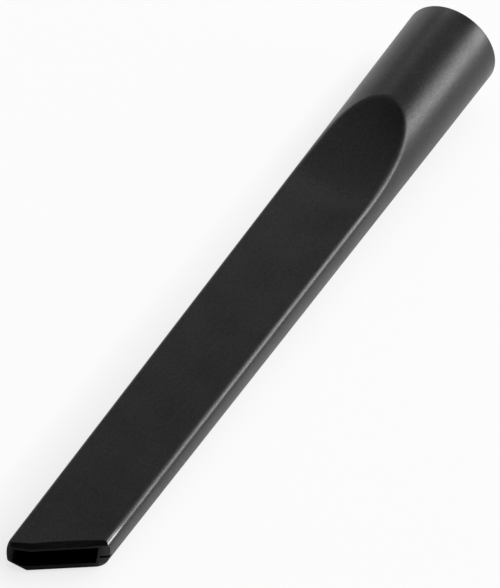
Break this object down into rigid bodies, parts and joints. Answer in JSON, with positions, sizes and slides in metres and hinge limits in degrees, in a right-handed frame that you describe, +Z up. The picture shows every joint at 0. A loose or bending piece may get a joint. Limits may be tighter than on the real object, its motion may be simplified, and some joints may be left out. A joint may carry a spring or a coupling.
{
  "type": "vacuum crevice tool",
  "caption": "Slim moulded nozzle for a vacuum hose: a round push-on socket that scoops down into a long flat duct and ends in a slanted mouth for gaps and corners.",
  "frame": {"origin": "centre of the socket's rim, where a hose end or wand is pushed in", "axes": "+X runs along the tool and out of the socket, the nose reaching along -X; +Y is across, on the side of the leading tip; +Z is up. The tool lies at rest on the rim and the mouth's lower lip, so the tube's own axis rises 2.5 degrees from +X towards +Z."},
  "size_m": [0.3, 0.037, 0.0386],
  "materials": {
    "moulded_plastic": "satin black, with the fine grain of a spark-eroded mould"
  },
  "bodies": {
    "root": {"crevice_nozzle": "moulded_plastic"}
  },
  "joints": []
}
